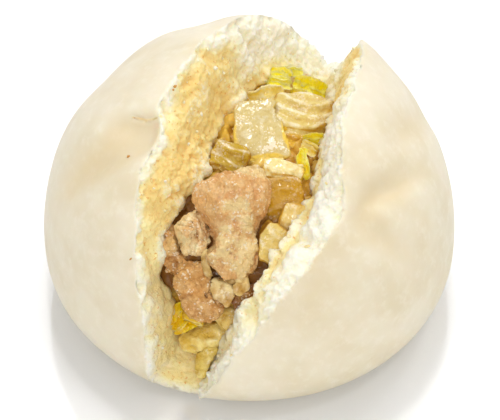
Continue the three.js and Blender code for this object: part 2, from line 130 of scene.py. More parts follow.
def relax(mesh, places, rounds, hold=None):
    # each point drifts to the middle of its neighbours
    edges = np.empty(len(mesh.edges) * 2, dtype=np.int64)
    mesh.edges.foreach_get("vertices", edges)
    first, last = edges.reshape(-1, 2).T
    count = np.maximum(np.bincount(edges, minlength=len(places)), 1)[:, None]
    keep = np.zeros((len(places), 1)) if hold is None else hold[:, None]
    for _ in range(rounds):
        total = np.stack([np.bincount(first, places[last, axis], len(places))
                          + np.bincount(last, places[first, axis], len(places)) for axis in range(3)], axis=1)
        places = places * keep + (total / count) * (1 - keep)
    return places


def voxelMesh(source, pieceName, voxel):
    # a fine even mesh of a mesh
    piece = bpy.data.objects.new(pieceName, source)
    bpy.context.scene.collection.objects.link(piece)
    remesh = piece.modifiers.new("fine", "REMESH")
    remesh.mode = "VOXEL"
    remesh.voxel_size = voxel * mm
    made = bpy.data.meshes.new_from_object(piece.evaluated_get(bpy.context.evaluated_depsgraph_get()))
    piece.modifiers.clear()
    piece.data = made
    made.name = pieceName
    made.materials.clear()
    made.shade_smooth()
    return piece


def fromNode(nodeName, pieceName, voxel, rounds=0):
    piece = voxelMesh(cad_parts[nodeName].data.copy(), pieceName, voxel)
    if rounds:
        setPlaces(piece.data, relax(piece.data, placesOf(piece.data), rounds))
    return piece


def splitFaces(mesh, chosen):
    # halves every edge between chosen points
    work = bmesh.new()
    work.from_mesh(mesh)
    edges = [edge for edge in work.edges if chosen[edge.verts[0].index] and chosen[edge.verts[1].index]]
    bmesh.ops.subdivide_edges(work, edges=edges, cuts=1, use_grid_fill=True)
    work.to_mesh(mesh)
    work.free()
    mesh.shade_smooth()


def facet(mesh, places, size, share, seed):
    # flattens patches about size across, as on torn or cut faces
    count = max(4, int(np.prod(np.ptp(places, axis=0)) ** (2 / 3) * 3 / size ** 2))
    seeds = places[np.random.default_rng(seed).choice(len(places), count, replace=False)]
    patch = np.argmin(((places[:, None] - seeds[None]) ** 2).sum(axis=2), axis=1)
    number = np.maximum(np.bincount(patch, minlength=count), 1)

    def meanOf(values):
        return np.stack([np.bincount(patch, values[:, axis], count) / number for axis in range(3)], axis=1)[patch]

    normal = meanOf(normalsOf(mesh))
    normal /= np.linalg.norm(normal, axis=1)[:, None] + 1e-9
    off = ((places - meanOf(places)) * normal).sum(axis=1)
    return places - normal * (share * off)[:, None]


def finishPiece(piece, material, slotName, *nodes):
    piece.data.shade_smooth()
    piece.data.materials.append(material)
    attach(piece, "root")
    if nodes:
        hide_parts(*nodes)


def tone(red, green, blue):
    # a colour as a picture shows it, 0 to 255
    return tuple(((c / 255 + 0.055) / 1.055) ** 2.4 if c > 10 else c / 3295 for c in (red, green, blue)) + (1.0,)


class Wire:
    # a node's output, with arithmetic
    def __init__(self, board, socket):
        self.board, self.socket = board, socket

    def reckon(self, operation, first, second):
        return self.board.node("ShaderNodeMath", {"operation": operation}, {0: first, 1: second})

    def __add__(self, other):
        return self.reckon("ADD", self, other)

    def __radd__(self, other):
        return self.reckon("ADD", other, self)

    def __sub__(self, other):
        return self.reckon("SUBTRACT", self, other)

    def __rsub__(self, other):
        return self.reckon("SUBTRACT", other, self)

    def __mul__(self, other):
        return self.reckon("MULTIPLY", self, other)

    def __rmul__(self, other):
        return self.reckon("MULTIPLY", other, self)


class Board:
    # one material and its nodes; spread is how far red, green and blue light run on under the surface
    def __init__(self, name, spread=(1.0, 0.7, 0.4), **surface):
        self.material = bpy.data.materials.new(name)
        self.material.use_nodes = True
        self.tree = self.material.node_tree
        self.surface = self.tree.nodes["Principled BSDF"]
        self.surface.inputs["Subsurface Radius"].default_value = spread
        for socketName, value in surface.items():
            self.surface.inputs[socketName.replace("_", " ")].default_value = value

    def plug(self, socket, value):
        if isinstance(value, Wire):
            self.tree.links.new(value.socket, socket)
        else:
            socket.default_value = value

    def node(self, kind, settings=None, sockets=None, out=0):
        made = self.tree.nodes.new(kind)
        for name, value in (settings or {}).items():
            if name == "stops":
                ramp = made.color_ramp
                while len(ramp.elements) < len(value):
                    ramp.elements.new(0.5)
                for element, (place, colour) in zip(ramp.elements, value):
                    element.position, element.color = place, colour
            else:
                setattr(made, name, value)
        for key, value in (sockets or {}).items():
            self.plug(made.inputs[key], value)
        return Wire(self, made.outputs[out])

    def show(self, **wires):
        for socketName, value in wires.items():
            self.plug(self.surface.inputs[socketName.replace("_", " ")], value)
        return self.material

    def place(self, stretch=(1, 1, 1), turn=(0, 0, 0)):
        here = self.node("ShaderNodeTexCoord", out="Object")
        if stretch == (1, 1, 1):
            return here
        return self.node("ShaderNodeMapping", {"vector_type": "POINT"},
                         {"Vector": here, "Rotation": turn, "Scale": stretch})

    def painted(self, name):
        return self.node("ShaderNodeAttribute", {"attribute_name": name}, out="Fac")

    def cloud(self, size, detail=3, rough=0.55, warp=0.0, where=None):
        # soft noise, 0 to 1, bumps about size mm across
        return self.node("ShaderNodeTexNoise", {"noise_dimensions": "3D"},
                         {"Vector": where or self.place(), "Scale": 1 / (size * mm), "Detail": detail,
                          "Roughness": rough, "Distortion": warp})

    def cells(self, size):
        # distance to the nearest of scattered centres about size mm apart
        return self.node("ShaderNodeTexVoronoi", {"feature": "F1", "voronoi_dimensions": "3D"},
                         {"Vector": self.place(), "Scale": 1 / (size * mm)}, out="Distance")

    def ease(self, value, low, high):
        # 0 below low, 1 above high
        return self.node("ShaderNodeMapRange", {"interpolation_type": "SMOOTHSTEP"},
                         {"Value": value, "From Min": low, "From Max": high})

    def ramp(self, value, *stops):
        return self.node("ShaderNodeValToRGB", {"stops": [(place, tone(*colour)) for place, colour in stops]},
                         {"Fac": value})

    def blend(self, amount, first, second):
        return self.node("ShaderNodeMix", {"data_type": "RGBA", "blend_type": "MIX"},
                         {0: amount, 6: first, 7: second}, out=2)

    def bump(self, height, depth, strength=1.0):
        return self.node("ShaderNodeBump", sockets={"Height": height, "Distance": depth * mm, "Strength": strength})


cameraValues = {"azimuth": 27, "elevation": 44, "distance": 0.7, "lens": 206.6, "aim": (0.00033, -0.00145, 0.0235)}
side, up = math.radians(cameraValues["azimuth"]), math.radians(cameraValues["elevation"])
back = Vector((math.sin(side) * math.cos(up), -math.cos(side) * math.cos(up), math.sin(up)))
camera = bpy.data.objects.new("camera", bpy.data.cameras.new("camera"))
camera.data.lens = cameraValues["lens"]
camera.location = Vector(cameraValues["aim"]) + back * cameraValues["distance"]
camera.rotation_mode = "QUATERNION"
camera.rotation_quaternion = (-back).to_track_quat("-Z", "Y")
bpy.context.scene.collection.objects.link(camera)
bpy.context.scene.camera = camera
bpy.context.scene.view_settings.view_transform = "Standard"

lampValues = {
    "key": {"from": (-0.15, 0.35, 0.9), "size": 0.2, "power": 1.3},
    "front": {"from": (0.4, -0.75, 0.6), "size": 0.5, "power": 2.8},
    "sparkTop": {"from": (-0.18, 0.22, 0.9), "size": 0.08, "power": 1.0},
    "sparkLeft": {"from": (-0.62, -0.1, 0.7), "size": 0.06, "power": 0.25},
    "sparkBack": {"from": (0.15, 0.6, 0.7), "size": 0.08, "power": 0.8},
    "sparkRight": {"from": (0.4, 0.1, 0.85), "size": 0.08, "power": 0.5},
    "panel": {"from": (-0.62, 1.22, 1.32), "size": 3.0, "power": 40},
}
lampAim = Vector((0, 0, 0.03))
lamps = {}
for lampName, values in lampValues.items():
    lamp = bpy.data.objects.new(lampName, bpy.data.lights.new(lampName, "AREA"))
    lamp.data.shape = "DISK"
    lamp.data.size, lamp.data.energy = values["size"], values["power"]
    lamp.location = values["from"]
    lamp.rotation_mode = "QUATERNION"
    lamp.rotation_quaternion = (lampAim - lamp.location).to_track_quat("-Z", "Y")
    bpy.context.scene.collection.objects.link(lamp)
    lamps[lampName] = lamp

worldValues = {"Color": (1.0, 1.0, 1.0, 1.0), "Strength": 0.71}
world = bpy.data.worlds.new("studio")
world.use_nodes = True
for socketName, value in worldValues.items():
    world.node_tree.nodes["Background"].inputs[socketName].default_value = value
bpy.context.scene.world = world

floorValues = {
    "half": 3.0,
    "gloss": {"Base_Color": (0.635, 0.635, 0.63, 1), "Roughness": 0.02, "IOR": 1.8,
              "Emission_Color": (1, 1, 1, 1), "Emission_Strength": 0.1},
}


def makeFloor():
    half = floorValues["half"]
    mesh = bpy.data.meshes.new("floor")
    mesh.from_pydata([(-half, -half, 0), (half, -half, 0), (half, half, 0), (-half, half, 0)], [], [(0, 1, 2, 3)])
    floor = bpy.data.objects.new("floor", mesh)
    bpy.context.scene.collection.objects.link(floor)
    mesh.materials.append(Board("floorGloss", **floorValues["gloss"]).material)
    # the panel is what the glossy floor mirrors; it shines on the floor alone
    floorOnly = bpy.data.collections.new("floorOnly")
    floorOnly.objects.link(floor)
    lamps["panel"].light_linking.receiver_collection = floorOnly
    lamps["panel"].visible_diffuse = False


makeFloor()
print("camera, lights and floor ready")


bunValues = {
    "radius": 50, "waist": 16.5, "rise": 52.5, "drop": 23, "domePower": 2.04, "footPower": 2.8,
    "uneven": 0.5, "voxel": 0.85,
    "swells": [((-153, 26), 1.3, 34), ((70, 55), 1.7, 9)],  # azimuth and height, how far out, how wide
    "foldBank": 0.25,
    # where each gathered fold starts and ends, how deep it is, and how wide on either side
    "folds": [
        ((-126, 61.5), (-143, 55), 1.9, 3, 4.5),
        ((-122, 60), (-140, 33), 2.6, 6, 5),
        ((-150, 62), (-176, 44), 0.6, 5, 7),
        ((170, 61), (178, 34), 0.9, 6, 7),
        ((140, 58), (142, 30), 1.1, 6, 6),
        ((-17, 51), (18, 43), 1.7, 3, 5),
        ((-24, 49.5), (-10, 30), 1.4, 4.5, 5),
        ((-8, 51), (2, 36), 0.9, 4, 4),
        ((14, 54), (50, 36), 1.1, 4, 5),
        ((-38, 46), (-50, 26), 0.7, 6, 6),
    ],
    "pocketCentre": (2, -2, 27), "pocketHalf": (26, 35, 19.5), "pocketPower": 2.6,
    "jag": 0.22, "parting": 9,
    "nick": [(-21.8, -18.8, 58.8), (-20.3, -18.7, 59), (-18.2, -19, 59.5), (-16.4, -18.9, 60.5), (-14, -18.3, 62.2)],
    "nickWidth": 0.5,
    "specks": [(-14.9, -11.2, 64.3), (-18.8, -26.9, 54), (-9.3, -43.8, 40.7), (-15.4, -10, 64.6)],
    "crumbSize": {"puff": 7.5, "crease": 3.4, "curd": 2.5, "grain": 1.25, "swell": 11, "pit": 3.0,
                  "bite": 3.4, "clump": 5, "tooth": 3.4},
    "crumbHigh": {"puff": 1.9, "crease": 0.9, "swell": 0.7, "pit": 0.7, "bite": 1.7, "clump": 1.6, "tooth": 1.6},
    "crumbSlant": {"curd": 0.25, "grain": 0.45},
    "soakNear": (1.0, 2.2), "soakRear": (4, 24), "soakLow": (26, 34), "soakToe": (30, 42), "soakMost": 0.88,
}


def skinPoint(azimuth, height):
    rise = height - bunValues["waist"]
    power = bunValues["domePower"] if rise > 0 else bunValues["footPower"]
    reach = bunValues["rise"] if rise > 0 else bunValues["drop"]
    radius = bunValues["radius"] * max(0.0, 1 - abs(rise / reach) ** power) ** (1 / power)
    turn = math.radians(azimuth)
    return np.array([radius * math.cos(turn), radius * math.sin(turn), height])


def plainSkin(points):
    # how far each point stands outside the plain dome, and the way out
    across = np.hypot(points[:, 0], points[:, 1])
    rise = points[:, 2] - bunValues["waist"]
    top = rise > 0
    power = np.where(top, bunValues["domePower"], bunValues["footPower"])
    reach = np.where(top, bunValues["rise"], bunValues["drop"])
    a, b = across / bunValues["radius"], np.abs(rise) / reach
    level = np.maximum((a ** power + b ** power) ** (1 / power), 1e-6)
    slopeOut = level ** (1 - power) * a ** (power - 1) / bunValues["radius"]
    slopeUp = level ** (1 - power) * b ** (power - 1) / reach * np.sign(rise)
    steep = np.hypot(slopeOut, slopeUp)
    flat = np.maximum(across, 1e-6)
    out = np.stack([points[:, 0] / flat * slopeOut, points[:, 1] / flat * slopeOut, slopeUp], axis=1)
    return (level - 1) / steep, out / steep[:, None]


def foldDepth(points):
    total = np.zeros(len(points))
    for start, end, depth, near, far in bunValues["folds"]:
        first = skinPoint(*start)
        line = skinPoint(*end) - first
        outward = first + line / 2 - np.array([0, 0, bunValues["waist"]])
        across = np.cross(outward / np.linalg.norm(outward), line)
        across /= np.linalg.norm(across)
        away = points - first
        along = away @ line / (line @ line)
        off = away @ across
        fade = smoothStep(along, -0.25, 0.1) * (1 - smoothStep(along, 0.35, 1.25))
        off = off / np.where(off > 0, far, near)
        groove = (1 + bunValues["foldBank"]) * np.exp(-off ** 2) - bunValues["foldBank"] * np.exp(-(off / 2.4) ** 2)
        close = (along > -0.3) & (along < 1.3) & (np.linalg.norm(away, axis=1) < 2 * np.linalg.norm(line))
        total += close * depth * fade * groove
    return total


def skinRelief(points):
    # how far the skin stands over the plain dome
    swell = bunValues["uneven"] * softNoise(points, 26, 3)
    for at, out, reach in bunValues["swells"]:
        swell = swell + out * np.exp(-(np.linalg.norm(points - skinPoint(*at), axis=1) / reach) ** 2)
    return smoothStep(points[:, 2], 0.5, 8) * (swell - foldDepth(points))


def skinDepth(points):
    # how deep each point lies under the skin, and the point of the skin over it
    off, out = plainSkin(points)
    foot = points - out * off[:, None]
    relief = skinRelief(foot)
    return relief - off, foot + out * relief[:, None]


def pocketLevel(points):
    share = np.abs((points - bunValues["pocketCentre"]) / bunValues["pocketHalf"])
    return (share ** bunValues["pocketPower"]).sum(axis=1)


def leftWall(across):
    # 1 on the torn wall left of the parting, 0 on the right one
    return 1 - smoothStep(across, bunValues["parting"] - 2, bunValues["parting"] + 2)


def crumbHeight(points, depth):
    # torn crumb: puffs parted by creases, split again into grains, with pits between
    size, high, slant = bunValues["crumbSize"], bunValues["crumbHigh"], bunValues["crumbSlant"]
    grainy = smoothStep(softNoise(points, 6, 14) + 0.3 * softNoise(points, 2.4, 15), -0.35, 0.45)
    loose = stirred(points, 4, 1.3, 7)
    height = high["puff"] * np.abs(softNoise(loose, size["puff"], 2))
    height = height + high["crease"] * np.abs(softNoise(loose, size["crease"], 5)) - 0.8
    shaken = stirred(points, 1.3, 0.45, 10)
    curd, _, _, curdSlant = lumps(shaken, size["curd"], 8)
    grain, _, _, grainSlant = lumps(shaken, size["grain"], 6)
    height += (0.3 + 0.55 * grainy) * (0.5 - curd) + slant["curd"] * curdSlant
    height += ((0.3 + 0.55 * grainy) * (0.5 - grain) + slant["grain"] * grainSlant
               + high["swell"] * softNoise(points, size["swell"], 21))
    height -= high["pit"] * smoothStep(cloudNoise(points, size["pit"], 16, 2), 0.45, 0.8)
    # the lower left wall is smoother
    left = leftWall(points[:, 0])
    height *= 1 - left * (1 - smoothStep(points[:, 2], 26, 48)) * 0.3
    # nibbled edges
    bite = smoothStep(cloudNoise(points, size["bite"], 44), 0.1, 0.8) * (1 - smoothStep(depth, 0.5, 3.5))
    height -= high["bite"] * bite
    # clumps that hang over the filling
    brim = 1 - smoothStep(np.abs(pocketLevel(points) - 1.08), 0.1, 0.4)
    height += brim * (high["clump"] * np.abs(softNoise(stirred(points, 5, 1.5, 17), size["clump"], 18)) - 0.1)
    teeth = 0.3 + 2.0 * np.abs(softNoise(stirred(points, 3, 1, 23), size["tooth"], 24)) + 0.5 * grainSlant
    height += brim * (1 - left) * high["tooth"] * teeth
    return height, grainy


def soakLevel(points, depth):
    # how far the filling's juice has stained the torn crumb
    near = 1 - smoothStep(pocketLevel(points), *bunValues["soakNear"])
    patch = cloudNoise(points, 7, 31)
    left = leftWall(points[:, 0] + 1.5 * softNoise(points, 5, 35))
    rear = smoothStep(points[:, 1], *bunValues["soakRear"])
    wall = smoothStep(depth + 3.2 * patch, 0.2, 6.5) * (0.95 - 0.88 * rear)
    low = smoothStep(depth, 0.5, 3) * (1 - smoothStep(points[:, 2], *bunValues["soakLow"]))
    wall = np.maximum(wall, (0.8 + 0.35 * cloudNoise(points, 4, 33)) * low)
    far = smoothStep(cloudNoise(points, 5, 37), 0.3, 0.9) * 0.5 + 0.85 * smoothStep(points[:, 1], 4, 14)
    far *= smoothStep(depth, 0.5, 3)
    toe = 1 - 0.36 * smoothStep(-points[:, 1], *bunValues["soakToe"])
    return np.maximum((left * wall + (1 - left) * far) * toe, bunValues["soakMost"] * near * toe)


def nickOn(points):
    # 1 along the short tear in the skin beside the left rim, and the side of it each point lies on
    near, sideOf = np.zeros(len(points)), np.zeros(len(points))
    for first, last in zip(bunValues["nick"], bunValues["nick"][1:]):
        first, line = np.array(first), np.subtract(last, first)
        along = np.clip((points - first) @ line / (line @ line), 0, 1)
        away = points - first - along[:, None] * line
        share = np.exp(-((away ** 2).sum(axis=1) / bunValues["nickWidth"] ** 2))
        sideOf = np.where(share > near, away[:, 0] * 0.33 - away[:, 1] * 0.94, sideOf)
        near = np.maximum(near, share)
    return near, sideOf


def makeBread():
    piece = fromNode("bun", "bread", bunValues["voxel"])
    mesh = piece.data
    places = placesOf(mesh)
    fine = (skinDepth(places)[0] > 0.3) | (nickOn(places)[0] > 0.02)
    splitFaces(mesh, fine & (places[:, 2] > 0.4) & (pocketLevel(places) > 1.02))
    places = placesOf(mesh)
    depth, onSkin = skinDepth(places)
    torn = relax(mesh, np.repeat(smoothStep(depth, 0.4, 0.8)[:, None], 3, axis=1), 5)[:, 0]
    ragged = torn + bunValues["jag"] * cloudNoise(places, 3.2, 11)
    above = smoothStep(places[:, 2], 0.3, 1.2)
    skin = (1 - smoothStep(depth, 0.3, 0.9)) * above
    crumb = smoothStep(ragged, 0.38, 0.55) * smoothStep(torn, 0.05, 0.15) * smoothStep(places[:, 2], 0.2, 1.5)
    smooth = relax(mesh, places, 3, 1 - smoothStep(depth, 0.5, 1.5))
    places = smooth * (1 - skin[:, None]) + onSkin * skin[:, None]
    setPlaces(mesh, places)
    normal = normalsOf(mesh)
    shown = crumb * smoothStep(pocketLevel(places), 0.9, 1.0)
    height, grainy = crumbHeight(places, depth)
    nick, sideOf = nickOn(places)
    crumb = np.maximum(crumb, smoothStep(nick, 0.3, 0.8) * 0.7)
    shown = np.maximum(shown, nick)
    soak = np.maximum(soakLevel(places, depth), 0.55 * smoothStep(nick, 0.3, 0.9))
    height = height * (1 - 0.18 * soak) * (1 - nick) - nick * (0.4 + 0.3 * np.sign(sideOf))
    setPlaces(mesh, places + normal * (shown * height)[:, None])
    paint(mesh, "crumb", crumb)
    paint(mesh, "height", 0.5 + 0.35 * height)
    paint(mesh, "grainy", grainy)
    paint(mesh, "fold", foldDepth(onSkin) * 0.6)
    paint(mesh, "soak", soak)
    finishPiece(piece, breadMaterial(), "bread", "bun")
    print("bread", len(mesh.vertices), "points")


def breadMaterial():
    board = Board("steamedBread", (1.0, 0.78, 0.5), Subsurface_Weight=0.6, Subsurface_Scale=0.0035,
                  Specular_IOR_Level=0.3, Coat_Roughness=0.2)
    crumb, soak = board.painted("crumb"), board.painted("soak")
    height, grainy = board.painted("height"), board.painted("grainy")
    fine = board.cloud(0.75, 3, 0.6)
    patch = board.cloud(2.6, 4, 0.6)
    skin = board.blend(board.ease(board.cloud(14, 2), 0.35, 0.7), tone(236, 226, 202), tone(228, 215, 184))
    skin = board.blend(board.ease(patch, 0.45, 0.75) * 0.5, skin, tone(243, 235, 216))
    # painted shade: the skin is darker and yellower down in its folds
    skin = board.blend(board.painted("fold") * 0.6, skin, tone(228, 208, 166))
    # juice stain on the torn crumb, deepened by painted shade where the crumb lies low
    stainAndHollowShade = soak * 0.85 + (patch - 0.5) * 0.4 + (fine - 0.5) * 0.2 - (height - 0.5) * 0.25
    torn = board.ramp(stainAndHollowShade, (0.0, (252, 245, 224)), (0.25, (252, 241, 206)), (0.5, (252, 233, 172)),
                      (0.75, (251, 222, 148)), (1.0, (242, 204, 116)))
    # painted highlight on the crumb's peaks, mixed with paler grain
    grainAndPeakHighlight = board.ease(height * 0.6 + fine * 0.6 + grainy * 0.12, 0.7, 0.9)
    torn = board.blend(grainAndPeakHighlight * 0.6, torn, tone(254, 248, 230))
    freckle = board.ease(board.cloud(1.1, 4, 0.65), 0.585, 0.68) * board.ease(soak, 0.15, 0.45)
    torn = board.blend(freckle * 0.7, torn, tone(224, 156, 58))
    colour = board.blend(crumb, skin, torn)
    grain = board.cloud(0.4, 4, 0.65)
    relief = board.bump((grain * 0.7 + board.cells(0.8) * 0.6) * crumb + board.cloud(0.9, 2) * 0.05, 0.5, 0.6)
    return board.show(Base_Color=colour, Normal=relief, Roughness=0.42 + crumb * (0.4 - soak * 0.35),
                      Coat_Weight=crumb * soak * 0.2)


makeBread()

coreValues = {"voxel": 0.8, "split": 0.93, "open": (0.9, 0.97), "lump": 5.2, "curd": 2.2, "swell": 0.45}


def porkShadowZone(points):
    # where the bed lies under pork, painted dark as the shadow that the pork chunks cast there
    return (1 - smoothStep(points[:, 1], -20, -12)) * smoothStep(points[:, 2], 22, 27)


def makeCore():
    piece = fromNode("filling_core", "fillingBed", coreValues["voxel"], 1)
    mesh = piece.data
    splitFaces(mesh, pocketLevel(placesOf(mesh)) < coreValues["split"])
    places = placesOf(mesh)
    loose = stirred(places, 3, 0.8, 3)
    near, _, tag, slant = lumps(loose, coreValues["lump"], 3)
    fine, _, _, fineSlant = lumps(loose, coreValues["curd"], 4)
    height = (1.1 * (0.5 - near) + 0.5 * slant + 0.6 * (0.5 - fine) + 0.5 * fineSlant
              + 0.2 * softNoise(places, 1.2, 31))
    bare = 1 - smoothStep(pocketLevel(places), *coreValues["open"])
    setPlaces(mesh, places + normalsOf(mesh) * (bare * (height + coreValues["swell"]))[:, None])
    paint(mesh, "tag", tag)
    paint(mesh, "height", 0.5 + 0.4 * height)
    paint(mesh, "meaty", porkShadowZone(places))
    board = Board("fillingBed", (1.0, 0.8, 0.4), Subsurface_Weight=0.1, Subsurface_Scale=0.002, Roughness=0.45,
                  Coat_Roughness=0.12, Specular_IOR_Level=0.12)
    mottle = board.cloud(1.4, 4, 0.6)
    bits = board.ramp(board.painted("tag") * 0.7 + mottle * 0.3, (0.0, (216, 162, 34)), (0.35, (238, 196, 74)),
                      (0.6, (240, 206, 104)), (0.85, (210, 154, 40)))
    # painted shade: the hollows between lumps take the dark tone
    colour = board.blend(board.ease(board.painted("height"), 0.1, 0.55), tone(178, 122, 20), bits)
    # painted shadow: the bed under the pork takes a near-black brown
    colour = board.blend(board.painted("meaty") * 0.92, colour, tone(122, 72, 26))
    relief = board.bump(board.cloud(0.6, 4, 0.6), 0.4, 0.7)
    material = board.show(Base_Color=colour, Normal=relief, Coat_Weight=0.25 + board.ease(mottle, 0.4, 0.6) * 0.6)
    finishPiece(piece, material, "filling_bed", "filling_core")
    print("filling bed", len(mesh.vertices), "points")


makeCore()

sauceValues = {"voxel": 0.45, "rounds": 8, "level": 0.15, "hide": 2.0, "rise": (0.12, 0.45)}


def makeSauce():
    # one skin over bed and stems, melted so that it fills their creases and sunk out of sight elsewhere
    joined = bmesh.new()
    for nodeName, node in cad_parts.items():
        if nodeName == "filling_core" or "stem" in nodeName:
            joined.from_mesh(node.data)
    source = bpy.data.meshes.new("sauceSource")
    joined.to_mesh(source)
    joined.free()
    piece = voxelMesh(source, "sauceFilm", sauceValues["voxel"])
    mesh = piece.data
    before, normal = placesOf(mesh), normalsOf(mesh)
    places = relax(mesh, before, sauceValues["rounds"])
    rise = ((places - before) * normal).sum(axis=1)
    shown = smoothStep(rise, *sauceValues["rise"]) * (1 - porkShadowZone(places))
    sink = sauceValues["level"] + 0.2 * softNoise(places, 3, 5) + sauceValues["hide"] * (1 - shown)
    setPlaces(mesh, places - normal * sink[:, None])
    board = Board("sauceFilm", (1.0, 0.8, 0.4), Subsurface_Weight=0.1, Subsurface_Scale=0.002, Roughness=0.4,
                  Coat_Roughness=0.1, Specular_IOR_Level=0.12)
    mottle = board.cloud(2.2, 4, 0.6)
    colour = board.ramp(mottle, (0.3, (176, 116, 10)), (0.45, (216, 166, 30)), (0.6, (236, 198, 76)),
                        (0.75, (200, 146, 24)))
    relief = board.bump(board.cloud(0.8, 4, 0.6), 0.35, 0.6)
    material = board.show(Base_Color=colour, Normal=relief, Coat_Weight=board.ease(mottle, 0.35, 0.6))
    finishPiece(piece, material, "filling_bed")
    print("sauce", len(mesh.vertices), "points")


makeSauce()


def meatMaterial(name, tones):
    # tones: lean in the light, lean in the shade, painted shade in creases, fat, browned
    board = Board(name, (1.0, 0.55, 0.3), Subsurface_Weight=0.05, Subsurface_Scale=0.0012, Coat_Roughness=0.1,
                  Specular_IOR_Level=0.2)
    height, fat = board.painted("height"), board.painted("fat")
    patch = board.cloud(2.4, 4, 0.6)
    speck = board.cloud(0.7, 4, 0.6)
    light, middle, dark, fatty, brown = (tone(*colour) for colour in tones)
    colour = board.blend(board.ease(patch * 0.6 + speck * 0.4, 0.4, 0.6), middle, light)
    colour = board.blend(board.ease(fat + (speck - 0.5) * 0.5, 0.6, 0.85) * 0.8, colour, fatty)
    colour = board.blend(board.ease(board.cloud(3.8, 4, 0.6), 0.52, 0.66) * 0.6, colour, brown)
    # painted shade: creases and splits take the dark tone
    colour = board.blend(board.ease(height + (speck - 0.5) * 0.4, -0.02, 0.3), dark, colour)
    fibres = board.cloud(0.6, 4, 0.65, 0.6, board.place((1, 0.45, 1), (0.3, 0.2, 0.9)))
    relief = board.bump(fibres * 0.9 + board.cells(0.6) * 0.5, 0.8, 0.8)
    glint = board.ease(board.cells(0.7) * -1.0 + board.cloud(2.2, 2) * 2.0, 0.8, 0.94)
    colour = board.blend(glint * 0.65, colour, tone(255, 240, 210))
    return board.show(Base_Color=colour, Normal=relief, Roughness=0.6 - board.ease(patch, 0.4, 0.7) * 0.2,
                      Coat_Weight=board.ease(patch, 0.4, 0.6) * 0.8)


# for each: the piece, its voxel, how much it swells, how rough it is and its colours
meatValues = {
    "pork_chunk_1": ("porkBig", 0.34, -0.15, 1.0,
                     ((242, 196, 132), (228, 174, 108), (150, 92, 42), (248, 220, 156), (210, 140, 72))),
    "pork_chunk_2": ("porkLeft", 0.28, -0.3, 0.9,
                     ((255, 230, 174), (248, 210, 146), (166, 110, 52), (255, 240, 186), (222, 160, 88))),
    "pork_chunk_3": ("porkLong", 0.32, -0.2, 1.0,
                     ((234, 184, 114), (212, 154, 86), (122, 72, 26), (236, 196, 128), (170, 106, 46))),
    "pork_chunk_4": ("porkDark", 0.28, 0.1, 0.8,
                     ((166, 112, 54), (138, 84, 34), (70, 36, 10), (190, 140, 70), (110, 60, 20))),
}
# facets: how large they are, how flat, and how far they are pushed about before
meatShape = {
    "ridge": 6.5, "ridgeHigh": 0.9, "facets": ((7.5, 0.95, 0.3), (3.2, 0.85, 0.7), (1.5, 0.75, 0.4)),
    "strand": (0.3, 1, 1), "fibre": 1.1, "fibreHigh": 0.34, "split": 3.2, "tiny": 0.8, "fat": 5,
}


def makeMeat(nodeName, pieceName, voxel, puff, rough, tones):
    piece = fromNode(nodeName, pieceName, voxel, 2)
    mesh = piece.data
    seed = len(nodeName) + int(nodeName[-1])
    plain = placesOf(mesh)
    middle = plain - plain.mean(axis=0)
    axes = np.linalg.svd(middle, full_matrices=False)[2]
    strand = stirred(middle @ axes.T * meatShape["strand"], 3, 0.5, seed)
    ridge = 0.35 - np.abs(softNoise(stirred(plain, 5, 1.2, seed), meatShape["ridge"], seed + 8))
    setPlaces(mesh, plain + normalsOf(mesh) * (meatShape["ridgeHigh"] * rough * ridge + puff)[:, None])
    for size, share, bumps in meatShape["facets"]:
        places = placesOf(mesh)
        setPlaces(mesh, places + normalsOf(mesh) * (rough * bumps * softNoise(places, 1.1 * size, seed + 9))[:, None])
        setPlaces(mesh, facet(mesh, placesOf(mesh), size, share, seed))
    setPlaces(mesh, relax(mesh, placesOf(mesh), 1))
    places, normal = placesOf(mesh), normalsOf(mesh)
    tiny, _, _, tinySlant = lumps(places, meatShape["tiny"], seed + 2)
    fibre = 1 - 2 * np.abs(softNoise(strand, meatShape["fibre"], seed + 3))
    split = smoothStep(np.abs(softNoise(strand, meatShape["split"], seed + 5)), 0.0, 0.12)
    height = rough * (meatShape["fibreHigh"] * fibre + 0.3 * (0.45 - tiny) + 0.5 * tinySlant - 0.2 * (1 - split))
    setPlaces(mesh, places + normal * height[:, None])
    paint(mesh, "height", 0.36 + 0.5 * height + 0.3 * ridge + 0.22 * split)
    paint(mesh, "fat", 0.5 + 0.55 * cloudNoise(places, meatShape["fat"], seed + 4))
    finishPiece(piece, meatMaterial(pieceName, tones), "pork", nodeName)


for meatName, meatLook in meatValues.items():
    makeMeat(meatName, *meatLook)
print("pork ready")

# how much paler the clear patches are, how much darker the soaked ones, and the tones of painted glints and rib
# highlights
wetValues = {
    "paleLift": (14, 22, 44), "soakShare": (0.84, 0.74, 0.5), "glint": (255, 250, 232), "rib": (255, 249, 228),
}


